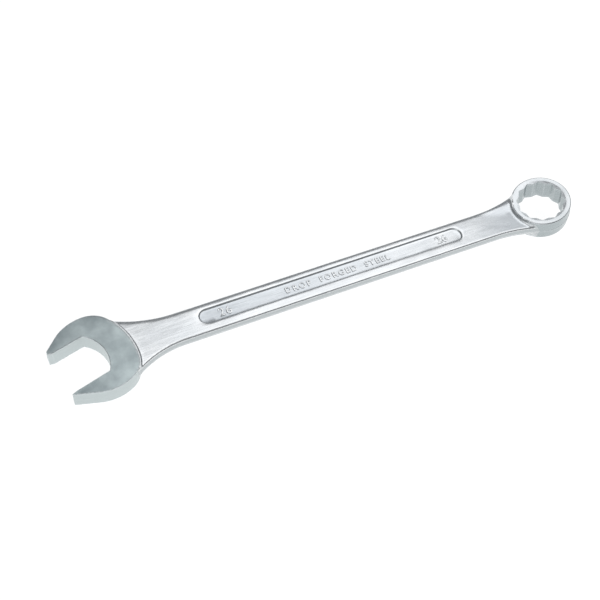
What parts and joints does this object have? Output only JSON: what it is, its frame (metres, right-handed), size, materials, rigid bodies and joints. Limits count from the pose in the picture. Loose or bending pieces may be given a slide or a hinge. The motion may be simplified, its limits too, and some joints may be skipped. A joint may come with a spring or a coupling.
{
  "type": "combination wrench",
  "caption": "Combination wrench: offset open-end jaws, a slim shank with a long sunk panel on each face, and a leaning twelve-point ring end, for a 26 mm hexagon.",
  "frame": {"origin": "centre of the bounding box in X and Y, on the lowest point of the ring's rim in Z", "axes": "+X along the shank from the jaws to the ring, +Z square to the shank's face, on the side towards which the ring rises; the jaws open towards -X, turned 15 degrees towards -Y"},
  "size_m": [0.3316, 0.0486, 0.0233],
  "materials": {
    "ground_steel": "ground and satin chrome plated",
    "plated_steel": "satin chrome plated, lightly scuffed",
    "plated_ring": "satin chrome plated"
  },
  "bodies": {
    "root": {"open_end_head": "ground_steel", "shank": "plated_steel", "ring_end_head": "plated_ring"}
  },
  "joints": []
}
